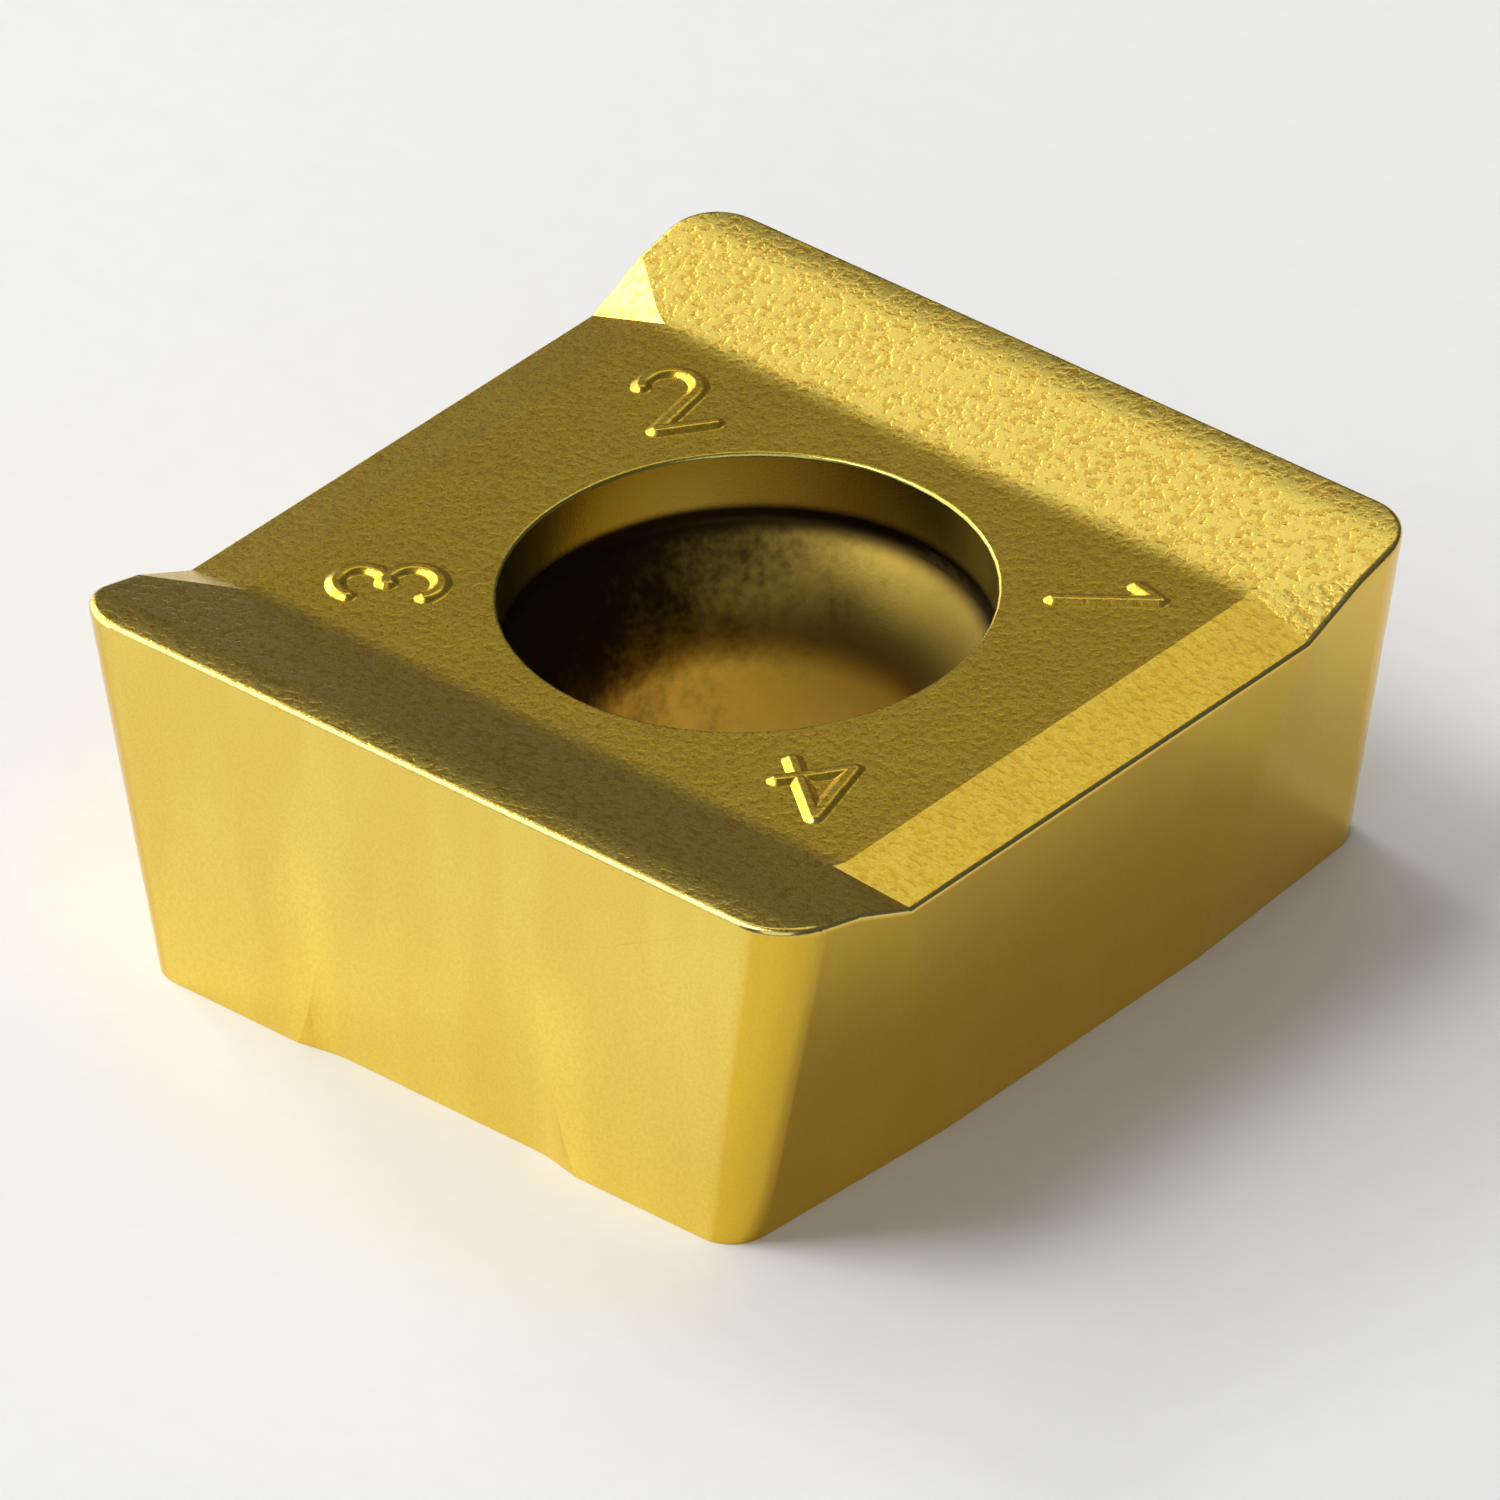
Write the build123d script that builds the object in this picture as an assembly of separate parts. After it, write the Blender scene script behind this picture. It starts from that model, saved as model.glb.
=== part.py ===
"""Indexable milling insert: one pressed and sintered block of carbide with four identical corners.

X runs along the two main cutting edges, Y from one main edge to the other, Z up from the seating face.
The origin is where the axis of the screw hole meets the seating face. Millimetres and degrees.
"""
from build123d import *
from math import cos, radians, sin, sqrt, tan
import os

# Overall
DEPTH = 12.0                # from one main cutting edge to the other
THICKNESS = 5.0             # from the seating face to the main cutting edges
NOSE_R = 0.8                # corner radius at the cutting edge
NOSE_BASE_R = 0.56          # corner radius at the seating face
STOCK_Z = 5.2               # the flanks are drawn up to here before the chip face is cut

# Flanks
MAIN_FLANK_DRAW = 0.03      # a main flank leans in by this much from its edge to the seating face
SIDE_EDGE_X = 5.935         # half length at the level middle part of a side cutting edge
SIDE_EDGE_Z = 4.34          # height of that level part
SIDE_EDGE_HALF = 3.73       # half its length
SIDE_BASE_X = 5.13          # half length at the seating face
SIDE_BASE_HALF = 2.39       # half width of the middle facet of a side flank at the seating face
END_FACET_TURN = 4.0        # the end facets of a side flank turn inward by this angle

# Chip face
FLOOR_Z = 4.57
FLOOR_HALF_X = 4.86
FLOOR_HALF_Y = 3.89
FLOOR_BLEND_R = 1.7         # hollow between the floor and a ramp
LAND_Y = 5.62               # the line of a ramp would meet the level of the main edges here
LAND_BLEND_R = 2.5          # round between a ramp and its land
FACET_TOP_Y = 4.74          # a corner facet runs out at the side edge here

# Shallow relief in the lower middle of each main flank
RELIEF_DEPTH = 0.14         # at the seating face
RELIEF_TOP_Z = 3.4          # it fades out here
RELIEF_HALF_X = 2.6
RELIEF_FLAT_HALF_X = 1.5
RELIEF_SWING = 10.0         # degrees, enough to pass the seating face

# Screw hole
MOUTH_R = 3.1
MOUTH_DEPTH = 0.95
MOUTH_EDGE_R = 0.05
BORE_R = 2.2
BORE_CHAMFER = 0.1
SEAT_R = 1.76               # the seat under the screw head is a convex round in section
SEAT_CORNER_R = 0.15        # hollow between the seat and the wall of the mouth

EDGE_HONE_R = 0.08          # the cutting edges are honed round

CUTTER_REACH = 1.0          # a cutter runs on this far past the surface that it cuts
TOUCH = 0.001               # lengths this close count as equal


def plan_outline(z):
    """Outline of the flanks at height z: eight straight lines and four nose arcs."""
    side_slope = (SIDE_EDGE_X - SIDE_BASE_X) / SIDE_EDGE_Z
    bend_slope = (SIDE_EDGE_HALF - SIDE_BASE_HALF) / SIDE_EDGE_Z
    side_x = SIDE_BASE_X + side_slope * z
    bend_y = SIDE_BASE_HALF + bend_slope * z
    lip_y = DEPTH / 2 - MAIN_FLANK_DRAW * (1 - z / THICKNESS)
    nose_r = NOSE_BASE_R + (NOSE_R - NOSE_BASE_R) * z / THICKNESS
    turn = radians(END_FACET_TURN)
    centre_y = lip_y - nose_r
    centre_x = side_x - tan(turn) * (centre_y - bend_y) - nose_r / cos(turn)
    nose_start = (centre_x + nose_r * cos(turn), centre_y + nose_r * sin(turn), z)
    nose_end = (centre_x, lip_y, z)
    corner = [
        Line((side_x, bend_y, z), nose_start),
        TangentArc(nose_start, nose_end, tangent=(-sin(turn), cos(turn), 0)),
    ]
    corners = corner + [edge.mirror(Plane.YZ) for edge in corner]
    outline = corners + [edge.mirror(Plane.XZ) for edge in corners]
    for side in (-1, 1):
        outline.append(Line((side * side_x, -bend_y, z), (side * side_x, bend_y, z)))
        outline.append(Line((-centre_x, side * lip_y, z), (centre_x, side * lip_y, z)))
    return outline


def flank_block():
    """Block bounded by the flanks: flat facets, and a cone at each nose."""
    base = plan_outline(0)
    top = plan_outline(STOCK_Z)
    faces = [make_face(base).face(), make_face(top).face()]
    for low, high in zip(base, top):
        if low.geom_type == GeomType.LINE:
            faces.append(Face(Wire.make_polygon([low @ 0, low @ 1, high @ 1, high @ 0])))
        else:
            faces.append(Face.make_surface_from_curves(low.edge(), high.edge()))
    return Solid(Shell(faces))


def above_ramps():
    """Everything above the floor, the two ramps and the level lands along the main edges."""
    section = Polygon(
        (-DEPTH, THICKNESS),
        (-LAND_Y, THICKNESS),
        (-FLOOR_HALF_Y, FLOOR_Z),
        (FLOOR_HALF_Y, FLOOR_Z),
        (LAND_Y, THICKNESS),
        (DEPTH, THICKNESS),
        (DEPTH, 2 * THICKNESS),
        (-DEPTH, 2 * THICKNESS),
        align=None,
    )
    floor_corners = section.vertices().filter_by(lambda v: abs(v.Y - FLOOR_Z) < TOUCH)
    section = fillet(floor_corners, FLOOR_BLEND_R)
    land_corners = section.vertices().filter_by(lambda v: abs(abs(v.X) - LAND_Y) < TOUCH)
    section = fillet(land_corners, LAND_BLEND_R)
    return extrude(Plane.YZ * section, DEPTH, both=True)


def above_side_band(side):
    """Everything above the band that falls to a side edge and the two corner facets at its ends."""
    ramp_rise = (THICKNESS - FLOOR_Z) / (LAND_Y - FLOOR_HALF_Y)
    facet_top_z = FLOOR_Z + ramp_rise * (FACET_TOP_Y - FLOOR_HALF_Y)
    waste = Pos(side * DEPTH / 2, 0, THICKNESS) * Box(DEPTH, 2 * DEPTH, 2 * THICKNESS)
    inner = Vector(side * FLOOR_HALF_X, 0, FLOOR_Z)
    band_up = Vector(side * (FLOOR_Z - SIDE_EDGE_Z), 0, SIDE_EDGE_X - FLOOR_HALF_X)
    waste = split(waste, bisect_by=Plane(inner, z_dir=band_up), keep=Keep.TOP)
    for end in (-1, 1):
        floor_corner = Vector(side * FLOOR_HALF_X, end * FLOOR_HALF_Y, FLOOR_Z)
        edge_corner = Vector(side * SIDE_EDGE_X, end * SIDE_EDGE_HALF, SIDE_EDGE_Z)
        run_out = Vector(side * SIDE_EDGE_X, end * FACET_TOP_Y, facet_top_z)
        facet_up = (edge_corner - floor_corner).cross(run_out - floor_corner) * (side * end)
        waste = split(waste, bisect_by=Plane(floor_corner, z_dir=facet_up), keep=Keep.TOP)
    return waste


def screw_hole():
    """Section of the hole turned about its axis: straight bore, convex seat, straight mouth."""
    corner_z = FLOOR_Z - MOUTH_DEPTH
    seat_run = MOUTH_R - BORE_R
    seat_start_z = corner_z - sqrt(SEAT_R**2 - (SEAT_R - seat_run) ** 2)
    chamfer_start_r = BORE_R + BORE_CHAMFER + CUTTER_REACH
    top_z = THICKNESS + CUTTER_REACH
    section = make_face(
        [
            Line((0, -CUTTER_REACH), (chamfer_start_r, -CUTTER_REACH)),
            Line((chamfer_start_r, -CUTTER_REACH), (BORE_R, BORE_CHAMFER)),
            Line((BORE_R, BORE_CHAMFER), (BORE_R, seat_start_z)),
            TangentArc((BORE_R, seat_start_z), (MOUTH_R, corner_z), tangent=(0, 1)),
            Line((MOUTH_R, corner_z), (MOUTH_R, top_z)),
            Line((MOUTH_R, top_z), (0, top_z)),
            Line((0, top_z), (0, -CUTTER_REACH)),
        ]
    )
    seat_corner = section.vertices().filter_by(lambda v: abs(v.Y - corner_z) < TOUCH)
    section = fillet(seat_corner, SEAT_CORNER_R)
    return revolve(Plane.XZ * section, Axis.Z)


def flank_relief(side):
    """A shallow hollow that fades upward: its section is swung about a far axis along X."""
    swing_r = (RELIEF_TOP_Z**2 + RELIEF_DEPTH**2) / (2 * RELIEF_DEPTH)
    bottom_y = DEPTH / 2 - MAIN_FLANK_DRAW * (1 - RELIEF_TOP_Z / THICKNESS)
    lip_y = bottom_y + RELIEF_DEPTH
    outer_y = lip_y + CUTTER_REACH
    bow = ((RELIEF_FLAT_HALF_X + RELIEF_HALF_X) / 2, (bottom_y + lip_y) / 2)
    half = [
        Line((0, bottom_y), (RELIEF_FLAT_HALF_X, bottom_y)),
        TangentArc((RELIEF_FLAT_HALF_X, bottom_y), bow, tangent=(1, 0)),
        TangentArc((RELIEF_HALF_X, lip_y), bow, tangent=(-1, 0)),
        Line((RELIEF_HALF_X, lip_y), (RELIEF_HALF_X, outer_y)),
        Line((RELIEF_HALF_X, outer_y), (0, outer_y)),
    ]
    section = Pos(0, 0, RELIEF_TOP_Z) * make_face(half + [edge.mirror(Plane.YZ) for edge in half])
    far_axis = Axis((0, bottom_y - swing_r, RELIEF_TOP_Z), (-1, 0, 0))
    cutter = revolve(section, far_axis, RELIEF_SWING)
    return cutter if side > 0 else cutter.mirror(Plane.XZ)


def is_mouth_rim(edge):
    """True for the circle where the mouth of the screw hole meets the floor."""
    return edge.geom_type == GeomType.CIRCLE and (edge @ 0.5).Z > FLOOR_Z - TOUCH


def is_cutting_edge(edge):
    """True for the edges where the chip face meets the flanks."""
    middle = edge @ 0.5
    on_main_edge = abs(middle.Y) > DEPTH / 2 - TOUCH
    on_side_edge_or_nose = abs(middle.X) > SIDE_EDGE_X - NOSE_R / 4
    return middle.Z > SIDE_EDGE_Z - TOUCH and (on_main_edge or on_side_edge_or_nose)


body = flank_block() - above_ramps()
for side in (-1, 1):
    body -= above_side_band(side)
    body -= flank_relief(side)
body -= screw_hole()
body = body.fillet(MOUTH_EDGE_R, body.edges().filter_by(is_mouth_rim))
body = body.fillet(EDGE_HONE_R, body.edges().filter_by(is_cutting_edge))

os.makedirs("parts", exist_ok=True)
export_step(body, "parts/insert_body.step")
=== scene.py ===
from math import cos, hypot, pi, radians, sin

import bmesh
import bpy
from mathutils import Matrix, Vector


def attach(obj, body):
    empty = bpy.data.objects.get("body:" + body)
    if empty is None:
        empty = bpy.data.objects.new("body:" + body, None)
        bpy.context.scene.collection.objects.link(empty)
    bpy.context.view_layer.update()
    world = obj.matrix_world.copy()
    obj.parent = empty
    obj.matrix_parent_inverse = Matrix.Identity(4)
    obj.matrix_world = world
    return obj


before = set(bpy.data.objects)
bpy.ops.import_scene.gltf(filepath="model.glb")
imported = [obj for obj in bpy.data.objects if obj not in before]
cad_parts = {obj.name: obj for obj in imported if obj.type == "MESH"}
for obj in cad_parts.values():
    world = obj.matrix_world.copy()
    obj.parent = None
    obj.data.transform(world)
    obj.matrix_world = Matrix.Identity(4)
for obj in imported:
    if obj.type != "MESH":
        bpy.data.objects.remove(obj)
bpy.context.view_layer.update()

# ---- The insert body -------------------------------------------------------------------------
# One block of cemented carbide, pressed in a die from powder and sintered. The seating face is
# ground, the cutting edges are honed round, and the whole is vapour-coated with a gold nitride.

mm = 0.001
insert_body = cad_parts["insert_body"]
chip_floor_z = 4.57 * mm
ramp_foot_y = 3.89 * mm
side_edge_r = 5.1 * mm      # every flank and cutting edge is farther than this from the axis
mouth_r = 3.1 * mm
mouth_foot_z = 3.75 * mm    # the straight wall of the mouth ends here and the seat begins
bore_top_z = 2.1 * mm
relief_top_z = 3.4 * mm
relief_half_x = 2.6 * mm
relief_flat_half_x = 1.5 * mm


def srgb(hex_colour):
    """An sRGB hex colour as linear RGBA."""
    channels = [int(hex_colour[i:i + 2], 16) / 255 for i in (1, 3, 5)]
    linear = [c / 12.92 if c <= 0.04045 else ((c + 0.055) / 1.055) ** 2.4 for c in channels]
    return (*linear, 1.0)


def add_node(tree, kind, inputs=None, **settings):
    """Adds a node. An input takes a plain value, or the output socket of another node."""
    node = tree.nodes.new(kind)
    for name, value in settings.items():
        setattr(node, name, value)
    for key, value in (inputs or {}).items():
        if isinstance(value, bpy.types.NodeSocket):
            tree.links.new(value, node.inputs[key])
        else:
            node.inputs[key].default_value = value
    return node


# Gold nitride, laid from vapour on carbide as it left the furnace. It is a bare metal to the eye:
# no clear film, and all its colour is in the reflection. The pressed skin under it is pitted like
# fine orange peel on the chip face, and drawn nearly smooth on the flanks by the wall of the die.
nitride = bpy.data.materials.new("gold nitride coating on sintered carbide")
nitride.use_nodes = True
tree = nitride.node_tree
tree.nodes.clear()

place = add_node(tree, "ShaderNodeTexCoord")
at = add_node(tree, "ShaderNodeSeparateXYZ", {0: place.outputs["Object"]})
facing = add_node(tree, "ShaderNodeSeparateXYZ", {0: place.outputs["Normal"]})
height = at.outputs["Z"]
faces_up = facing.outputs["Z"]
beside_x, beside_y, faces_x, faces_y, faces_z = (
    add_node(tree, "ShaderNodeMath", {0: signed}, operation="ABSOLUTE").outputs[0]
    for signed in (at.outputs["X"], at.outputs["Y"], *facing.outputs)
)
level_place = add_node(
    tree, "ShaderNodeCombineXYZ", {"X": at.outputs["X"], "Y": at.outputs["Y"]}
)
from_axis = add_node(
    tree, "ShaderNodeVectorMath", {0: level_place.outputs[0]}, operation="LENGTH"
).outputs["Value"]

# The patterns, each with its real size along X, Y and Z in millimetres, its detail and roughness:
# - pits of the pressed skin, and the grit of the powder all over
# - waves, where the powder packed unevenly and smeared upward against the die
# - draw marks, which run up the flanks and the wall of the hole
# - scratches, which the grinding wheel leaves along X on the seating face
# - clouds that break up the painted shade down the hole
# The real grit and scratches are some 0.01 mm wide. They are drawn coarser, so that they show.
pattern = {}
for name, size, detail, roughness in (
    ("pits", (0.12, 0.12, 0.12), 2.0, 0.5),
    ("grit", (0.04, 0.04, 0.04), 2.0, 0.6),
    ("waves", (0.8, 0.8, 3.0), 1.0, 0.4),
    ("draw marks", (0.12, 0.12, 1.0), 2.0, 0.5),
    ("scratches", (4.0, 0.03, 4.0), 3.0, 0.6),
    ("clouds of painted shade", (0.7, 0.7, 0.7), 4.0, 0.65),
):
    to_size = add_node(
        tree, "ShaderNodeMapping",
        {"Vector": place.outputs["Object"], "Scale": [1 / (length * mm) for length in size]},
    )
    pattern[name] = add_node(
        tree, "ShaderNodeTexNoise",
        {"Vector": to_size.outputs[0], "Scale": 1.0, "Detail": detail, "Roughness": roughness},
    ).outputs[0]

# The seat and the bore are painted darker toward one side and toward the top, as painted shade.
# The shade follows a sloping line, broken up by the clouds and the pits.
slant = add_node(
    tree, "ShaderNodeVectorMath",
    {0: place.outputs["Object"], 1: (0.50 / mm, 0.45 / mm, -0.70 / mm)}, operation="DOT_PRODUCT",
).outputs["Value"]
shade_across_hole = slant
for name, share in (("clouds of painted shade", 3.5), ("pits", 1.6)):
    shade_across_hole = add_node(
        tree, "ShaderNodeMath", {0: pattern[name], 1: share, 2: shade_across_hole}, operation="MULTIPLY_ADD"
    ).outputs[0]

# Each mask goes smoothly from its low to its high value while its measure goes from start to end.
mask = {}
for name, measure, start, end, low, high in (
    ("chip face", faces_up, 0.60, 0.78, 0, 1),
    ("ground base", faces_up, -0.90, -0.97, 0, 1),
    ("upright", faces_z, 0.78, 0.60, 0, 1),
    ("main flank", faces_y, 0.955, 0.998, 0, 1),
    ("past the ramp foot", beside_y, ramp_foot_y - 0.3 * mm, ramp_foot_y + 0.2 * mm, 0, 1),
    ("level along x", faces_x, 0.12, 0.04, 0, 1),
    ("past the floor", from_axis, side_edge_r - 0.02 * mm, side_edge_r + 0.08 * mm, 0, 1),
    ("in the hole", from_axis, mouth_r + 0.05 * mm, mouth_r, 0, 1),
    ("out of the hole", from_axis, mouth_r, mouth_r + 0.05 * mm, 0, 1),
    ("below the mouth", height, mouth_foot_z + 0.07 * mm, mouth_foot_z - 0.07 * mm, 0, 1),
    ("above the corner foot", height, 3.46 * mm, 3.60 * mm, 0, 1),
    ("below the corner top", height, 3.90 * mm, 3.74 * mm, 0, 1),
    ("bore painted bright", height, bore_top_z + 0.4 * mm, bore_top_z - 0.2 * mm, 0, 1),
    ("edge foot", faces_up, 0.10, 0.35, 0, 1),
    ("edge top", faces_up, 0.93, 0.80, 0, 0.7),
    ("past the relief flat", beside_x, relief_flat_half_x, relief_flat_half_x + 0.4 * mm, 0, 1),
    ("before the relief end", beside_x, relief_half_x + 0.1 * mm, relief_half_x - 0.4 * mm, 0, 1),
    ("low in the relief", height, relief_top_z + 0.2 * mm, relief_top_z - 1.2 * mm, 0, 0.8),
    ("above the pits", pattern["pits"], 0.32, 0.58, 0, 1),
    ("on a wave", pattern["waves"], 0.35, 0.65, 0, 0.18),
    ("between grains", pattern["grit"], 0.35, 0.65, 0, 0.16),
    ("painted shade toward one side", shade_across_hole, 1.7, -1.0, 0, 1),
    ("painted shade kept in the bore", height, bore_top_z + 0.4 * mm, bore_top_z - 0.2 * mm, 1, 0.65),
    ("satin", faces_up, 0.60, 0.78, 0.17, 0.26),
    ("grain of the satin", pattern["grit"], 0.3, 0.7, 0, 0.06),
    ("satin in the hole", height, mouth_foot_z + 0.07 * mm, mouth_foot_z - 0.07 * mm, 0.26, 0.48),
):
    limits = {"From Min": start, "From Max": end, "To Min": low, "To Max": high}
    mask[name] = add_node(
        tree, "ShaderNodeMapRange", {"Value": measure, **limits}, interpolation_type="SMOOTHSTEP"
    ).outputs["Result"]

# A finish that asks for two things at once takes the product of their masks.
for name, first, second in (
    ("pressed skin", "chip face", "out of the hole"),
    ("on a ramp", "chip face", "past the ramp foot"),
    ("on a pitted ramp", "on a ramp", "level along x"),
    ("on a flank", "upright", "past the floor"),
    ("on an edge", "edge foot", "edge top"),
    ("painted highlight on the cutting edges", "on an edge", "past the floor"),
    ("beside the relief", "past the relief flat", "before the relief end"),
    ("painted highlight on the relief sides", "beside the relief", "low in the relief"),
    ("painted shade in the seat corner", "above the corner foot", "below the corner top"),
    ("painted shade in the hole", "painted shade toward one side", "painted shade kept in the bore"),
):
    mask[name] = add_node(
        tree, "ShaderNodeMath", {0: mask[first], 1: mask[second]}, operation="MULTIPLY"
    ).outputs[0]

# The relief of the surface, coarsest pattern first. Each pattern has its depth in thousandths of
# a millimetre, and a mask for where it lies. The ramps are pitted deeper than the floor, and the
# hole is rougher than the outside.
micron = 0.001 * mm
relief = {}
for texture, depths in (
    (pattern["waves"], ((4.8, 1.0),)),
    (mask["above the pits"], ((1.6, mask["pressed skin"]), (2.2, mask["on a pitted ramp"]))),
    (pattern["draw marks"], ((1.6, mask["on a flank"]), (1.6, mask["in the hole"]))),
    (pattern["grit"], ((0.3, 1.0), (1.7, mask["in the hole"]))),
    (pattern["scratches"], ((0.8, mask["ground base"]),)),
):
    depth = 0.0
    for microns, where in depths:
        depth = add_node(
            tree, "ShaderNodeMath", {0: microns * micron, 1: where, 2: depth},
            operation="MULTIPLY_ADD",
        ).outputs[0]
    layer = {"Height": texture, "Strength": 1.0, "Distance": depth}
    bump = add_node(tree, "ShaderNodeBump", {**layer, **relief})
    relief = {"Normal": bump.outputs[0]}

# The tones of the coating. Each goes from its first paint to its second where its mask rises, and
# a paint is a colour or an earlier tone. The nitride is a deep gold, paler on the main flanks and
# on the ramps. The pits are painted darker and redder than the tops, as painted shade in the
# pits.
# The sides of the relief are painted brightest, as a painted highlight, and the rounded cutting
# edges are painted pale, as a painted highlight. Down the hole the gold is thin and grey; the
# rough seat is painted dark as shade, darker toward one side and in the corner below the mouth,
# and the bore is painted bright, as painted light coming up through it.
tone = {}
for name, where, first, second in (
    # The sides of the relief are painted brighter gold, as a painted highlight that fades toward
    # the top of the relief.
    ("main flank", "painted highlight on the relief sides", "#F3D866", "#FFE46C"),
    ("flanks", "main flank", "#E7C03F", "main flank"),
    # The pits are painted darker and redder than the tops, as painted shade in the pits.
    ("skin", "above the pits", "#E2B838", "#EBC84A"),
    ("skin and flanks", "chip face", "flanks", "skin"),
    ("waved", "on a wave", "skin and flanks", "#DCAE3C"),
    ("grainy", "between grains", "waved", "#C9A236"),
    # On the ramps too, the pits are painted darker and redder than the tops, as painted shade.
    ("ramp skin", "above the pits", "#DDB449", "#EDD162"),
    ("with ramps", "on a ramp", "grainy", "ramp skin"),
    # The rounded cutting edges are painted pale, as a painted highlight.
    ("outside", "painted highlight on the cutting edges", "with ramps", "#EBD98C"),
    # The bore is painted bright, as painted light coming up through it, and the seat above it is
    # darker.
    ("seat and bright-painted bore", "bore painted bright", "#8C7633", "#F0CF62"),
    # The hole below the mouth is painted dark, as painted shade, toward one side and the top, and
    # less so in the bore.
    ("seat with painted shade", "painted shade in the hole", "seat and bright-painted bore", "#33260F"),
    ("mouth and seat", "below the mouth", "#C0B769", "seat with painted shade"),
    # The corner fillet between the mouth wall and the seat is painted nearly black, as painted
    # shade in the crease.
    ("hole", "painted shade in the seat corner", "mouth and seat", "#2E230E"),
    ("coating", "in the hole", "outside", "hole"),
):
    paints = [tone[paint] if paint in tone else srgb(paint) for paint in (first, second)]
    tone[name] = add_node(
        tree, "ShaderNodeMix", {0: mask[where], 6: paints[0], 7: paints[1]}, data_type="RGBA"
    ).outputs[2]

satin = add_node(
    tree, "ShaderNodeMath", {0: mask["satin"], 1: mask["grain of the satin"]}, operation="ADD"
).outputs[0]
roughness = add_node(
    tree, "ShaderNodeMix",
    {0: mask["in the hole"], 2: satin, 3: mask["satin in the hole"]}, data_type="FLOAT",
).outputs[0]
metal = add_node(
    tree, "ShaderNodeBsdfPrincipled",
    {"Base Color": tone["coating"], "Metallic": 1.0, "Roughness": roughness, **relief},
)
add_node(tree, "ShaderNodeOutputMaterial", {"Surface": metal.outputs["BSDF"]})

insert_body.data.materials.clear()
insert_body.data.materials.append(nitride)

# ---- Edge numerals ---------------------------------------------------------------------------
# A plain number from 1 to 4 beside each corner tells the user which corner has been turned in.
# The die is engraved, so each numeral stands up from the pressed floor as a soft rounded ridge.

numeral_height = 1.3 * mm
numeral_ring_r = 4.45 * mm
numeral_ring_turn = radians(37)
numeral_corners = {1: (1, 1), 2: (-1, 1), 3: (-1, -1), 4: (1, -1)}
ridge_rise = 0.055 * mm
ridge_half_width = 0.16 * mm
ridge_flat_half = 0.03 * mm
ridge_root = 0.003 * mm     # the foot of a ridge dips this far into the floor
cell = 0.0125 * mm          # the ridges are drawn on a square grid this fine
grid_half_width = 0.55 * numeral_height
grid_half_height = 0.70 * numeral_height


def arc(centre_x, centre_y, radius, start, end, steps=32):
    """Points along an arc, in parts of a numeral's height, with angles in degrees."""
    turns = [radians(start + (end - start) * i / steps) for i in range(steps + 1)]
    return [(centre_x + radius * cos(t), centre_y + radius * sin(t)) for t in turns]


strokes_of = {
    1: [[(-0.20, 0.28), (0.04, 0.50), (0.04, -0.50)]],
    2: [arc(0, 0.22, 0.28, 165, -40) + [(-0.28, -0.50), (0.29, -0.50)]],
    3: [arc(0, 0.25, 0.25, 150, -90), arc(0, -0.24, 0.27, 90, -150)],
    4: [[(0.17, -0.50), (0.17, 0.50), (-0.36, -0.20), (0.38, -0.20)]],
}


def distance_to_stroke(x, y, stroke):
    """Distance from a point to the nearest straight piece of a stroke."""
    nearest = 1.0
    for (ax, ay), (bx, by) in zip(stroke, stroke[1:]):
        run_x, run_y = bx - ax, by - ay
        along = ((x - ax) * run_x + (y - ay) * run_y) / (run_x**2 + run_y**2)
        along = min(1.0, max(0.0, along))
        nearest = min(nearest, hypot(x - ax - along * run_x, y - ay - along * run_y))
    return nearest


def ridge_height(distance):
    """Height of the ridge above the floor at this distance from the middle of a stroke."""
    if distance > ridge_half_width:
        return -ridge_root
    down = max(0.0, distance - ridge_flat_half) / (ridge_half_width - ridge_flat_half)
    return (ridge_rise + ridge_root) * (1 + cos(pi * down)) / 2 - ridge_root


def numeral_mesh(number, turn):
    """The ridges of one numeral on a fine grid, in place on the floor with its top outward."""
    mesh = bmesh.new()
    outward = Vector((cos(turn), sin(turn), 0))
    rightward = Vector((sin(turn), -cos(turn), 0))
    centre = outward * numeral_ring_r
    columns = int(grid_half_width / cell)
    rows = int(grid_half_height / cell)
    grid = {}
    for column in range(-columns, columns + 1):
        for row in range(-rows, rows + 1):
            u, v = column * cell, row * cell
            distance = min(
                distance_to_stroke(u / numeral_height, v / numeral_height, stroke)
                for stroke in strokes_of[number]
            ) * numeral_height
            if distance < ridge_half_width + 2 * cell:
                spot = centre + rightward * u + outward * v
                spot.z = chip_floor_z + ridge_height(distance)
                grid[column, row] = mesh.verts.new(spot)
    for column, row in grid:
        corners = [(column, row), (column + 1, row), (column + 1, row + 1), (column, row + 1)]
        if all(corner in grid for corner in corners):
            mesh.faces.new([grid[corner] for corner in corners])
    loose = [vertex for vertex in mesh.verts if not vertex.link_faces]
    bmesh.ops.delete(mesh, geom=loose, context="VERTS")
    bmesh.ops.recalc_face_normals(mesh, faces=mesh.faces)
    return mesh


for number, (side_x, side_y) in numeral_corners.items():
    turn = numeral_ring_turn if side_x == side_y else -numeral_ring_turn
    turn += 0 if side_x > 0 else pi
    ridges = numeral_mesh(number, turn)
    numeral_data = bpy.data.meshes.new(f"edge_numeral_{number}")
    ridges.to_mesh(numeral_data)
    ridges.free()
    numeral_data.shade_smooth()
    numeral_data.materials.append(nitride)
    numeral = bpy.data.objects.new(f"edge_numeral_{number}", numeral_data)
    bpy.context.scene.collection.objects.link(numeral)
    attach(numeral, "root")

# ---- The floor -------------------------------------------------------------------------------
# A round sheet of matt white card, pressed from bleached pulp, that the insert stands on. It
# lies a hair lower than the seating face, so that the two don't flicker.

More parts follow.
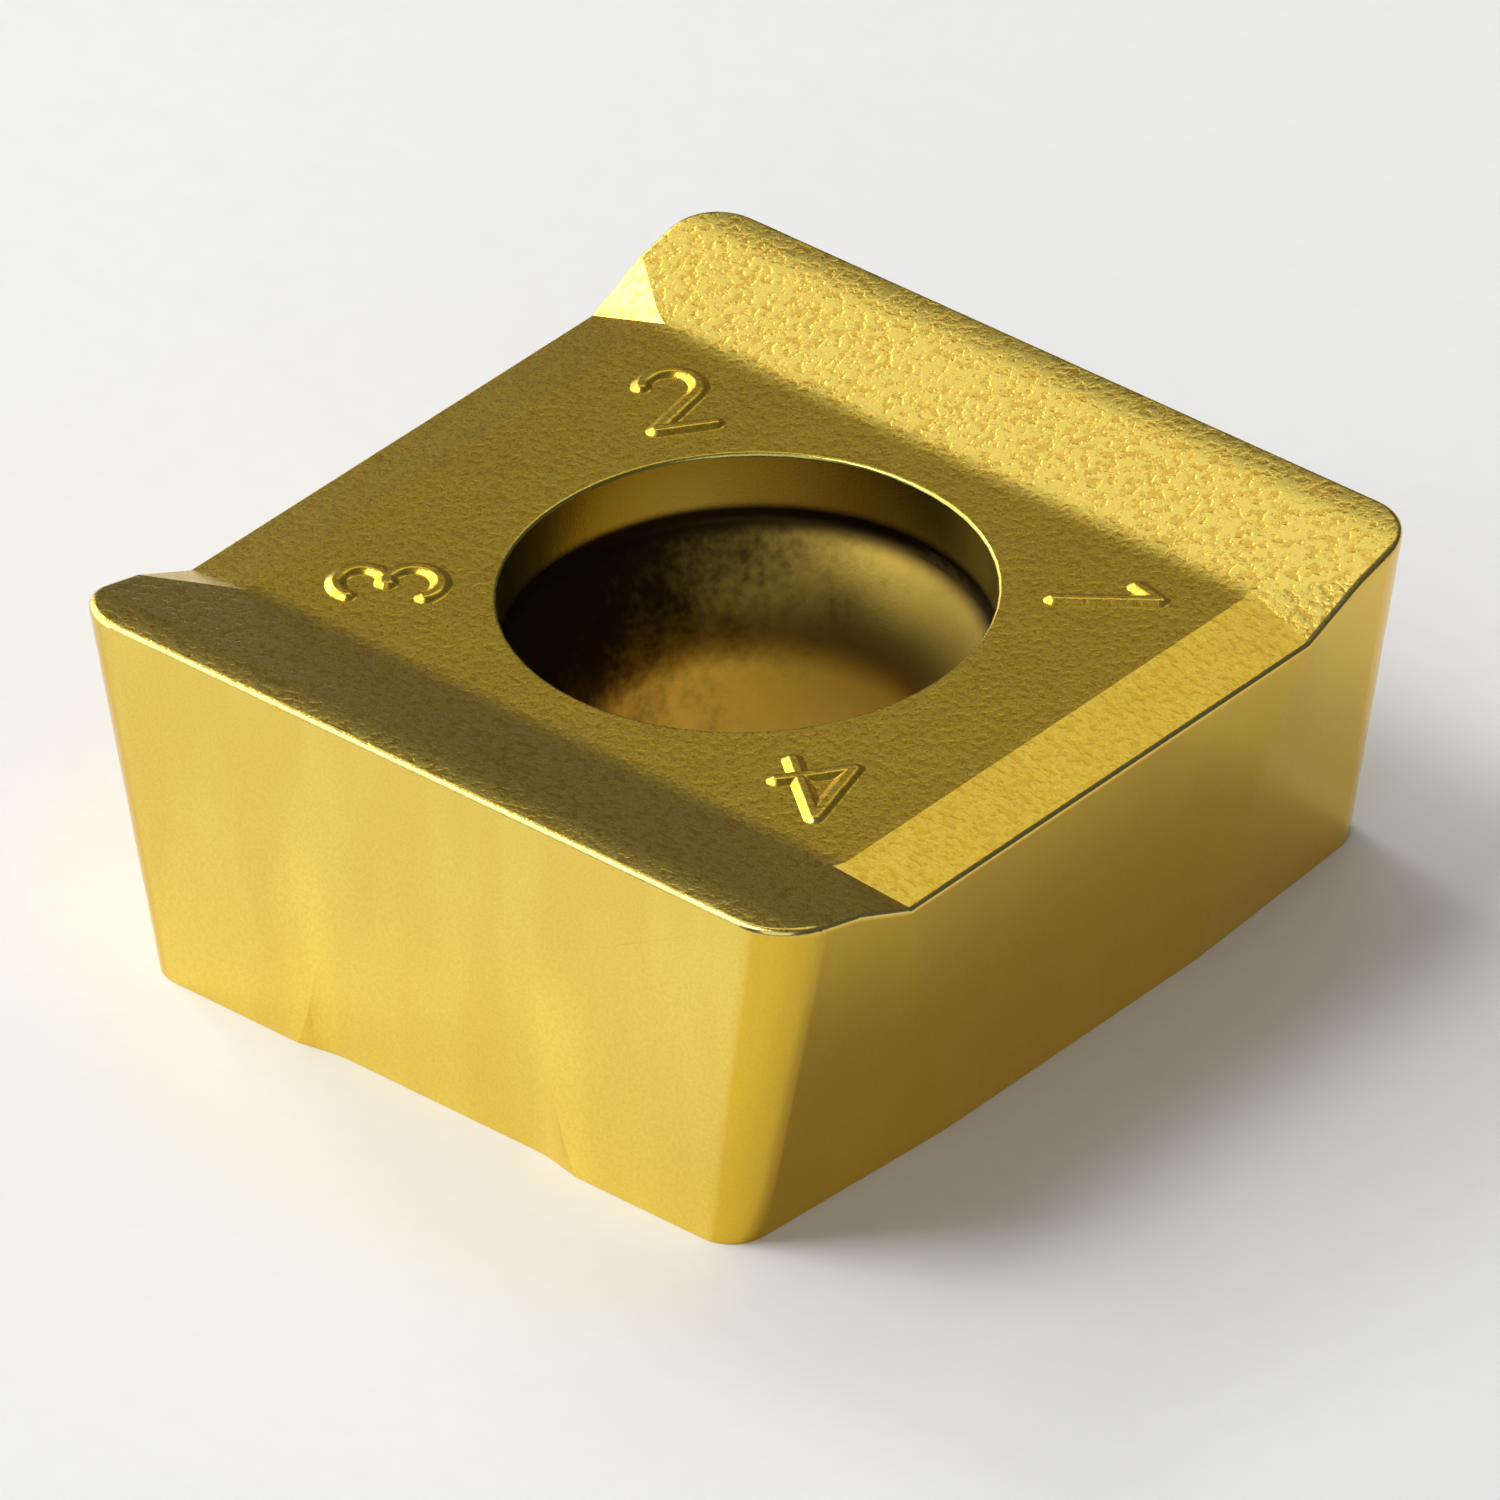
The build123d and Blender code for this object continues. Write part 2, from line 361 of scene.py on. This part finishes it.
floor_r = 150 * mm
floor_gap = 0.005 * mm
fibre_size = 0.5 * mm
floor_mesh = bpy.data.meshes.new("card")
sheet = bmesh.new()
bmesh.ops.create_circle(sheet, cap_ends=True, segments=96, radius=floor_r)
sheet.to_mesh(floor_mesh)
sheet.free()
floor = bpy.data.objects.new("card", floor_mesh)
floor.location = (0, 0, -floor_gap)
bpy.context.scene.collection.objects.link(floor)

# Uncoated card: the fibres scatter all light, and show as the faintest mottle.
card = bpy.data.materials.new("matt white card")
card.use_nodes = True
tree = card.node_tree
tree.nodes.clear()
place = add_node(tree, "ShaderNodeTexCoord")
fibres = add_node(
    tree, "ShaderNodeTexNoise",
    {"Vector": place.outputs["Object"], "Scale": 1 / fibre_size, "Detail": 3.0},
)
paper = add_node(tree, "ShaderNodeValToRGB", {"Fac": fibres.outputs[0]})
paper.color_ramp.elements[0].color = srgb("#F3F3F2")
paper.color_ramp.elements[1].color = srgb("#F7F7F6")
matt = add_node(
    tree, "ShaderNodeBsdfPrincipled",
    {"Base Color": paper.outputs["Color"], "Roughness": 0.9},
)
add_node(tree, "ShaderNodeOutputMaterial", {"Surface": matt.outputs["BSDF"]})
floor_mesh.materials.append(card)

# ---- Light and camera ------------------------------------------------------------------------
# Softboxes stand around the insert as in a studio for small parts. The camera has a long lens and
# stands at the corner between a main flank and a side flank, with a slight tilt.

camera_azimuth = radians(42.253)
camera_elevation = radians(33.852)
camera_tilt = radians(-1.752)
camera_distance = 289 * mm
camera_target = Vector((0.180, -0.236, 2.406)) * mm
right = Vector((cos(camera_azimuth), sin(camera_azimuth), 0))
away = Vector((-sin(camera_azimuth), cos(camera_azimuth), 0))
up = Vector((0, 0, 1))


def softbox(name, azimuth, elevation, width, height, radiance):
    """
    A flat lamp that faces the insert. Azimuth 0 is straight away from the camera and 90 is to
    its right, and a radiance of 1 shows a perfect mirror as plain white.
    """
    distance = 400 * mm
    level = away * cos(radians(azimuth)) + right * sin(radians(azimuth))
    toward = level * cos(radians(elevation)) + up * sin(radians(elevation))
    lamp = bpy.data.lights.new(name, "AREA")
    lamp.shape = "RECTANGLE"
    lamp.size = width
    lamp.size_y = height
    lamp.energy = radiance * pi * width * height
    lamp_object = bpy.data.objects.new(name, lamp)
    lamp_object.location = toward * distance
    lamp_object.rotation_euler = toward.to_track_quat("Z", "Y").to_euler()
    lamp_object.visible_camera = False
    bpy.context.scene.collection.objects.link(lamp_object)


softbox("left softbox", -62, 20, 690 * mm, 500 * mm, 1.75)
softbox("key softbox", -91, 59, 150 * mm, 175 * mm, 7.8)
softbox("back softbox", 22, 53, 235 * mm, 150 * mm, 1.0)
softbox("front softbox", -172, 35, 405 * mm, 380 * mm, 0.85)
softbox("top softbox", -14, 57, 95 * mm, 100 * mm, 1.3)
softbox("hair light", -34, 36, 70 * mm, 70 * mm, 12.0)

world = bpy.data.worlds.new("studio")
world.use_nodes = True
tree = world.node_tree
tree.nodes.clear()
room = add_node(tree, "ShaderNodeBackground", {"Color": (1, 1, 1, 1), "Strength": 0.09})
add_node(tree, "ShaderNodeOutputWorld", {"Surface": room.outputs[0]})
bpy.context.scene.world = world

forward = away * cos(camera_elevation) - up * sin(camera_elevation)
level_up = right.cross(forward)
camera_right = right * cos(camera_tilt) + level_up * sin(camera_tilt)
camera_up = level_up * cos(camera_tilt) - right * sin(camera_tilt)
camera_data = bpy.data.cameras.new("camera")
camera_data.sensor_width = 36.0
camera_data.lens = 560.507
camera = bpy.data.objects.new("camera", camera_data)
camera_turn = Matrix((camera_right, camera_up, -forward)).transposed()
camera_place = Matrix.Translation(camera_target - forward * camera_distance)
camera.matrix_world = camera_place @ camera_turn.to_4x4()
bpy.context.scene.collection.objects.link(camera)
bpy.context.scene.camera = camera

bpy.context.scene.view_settings.view_transform = "Standard"
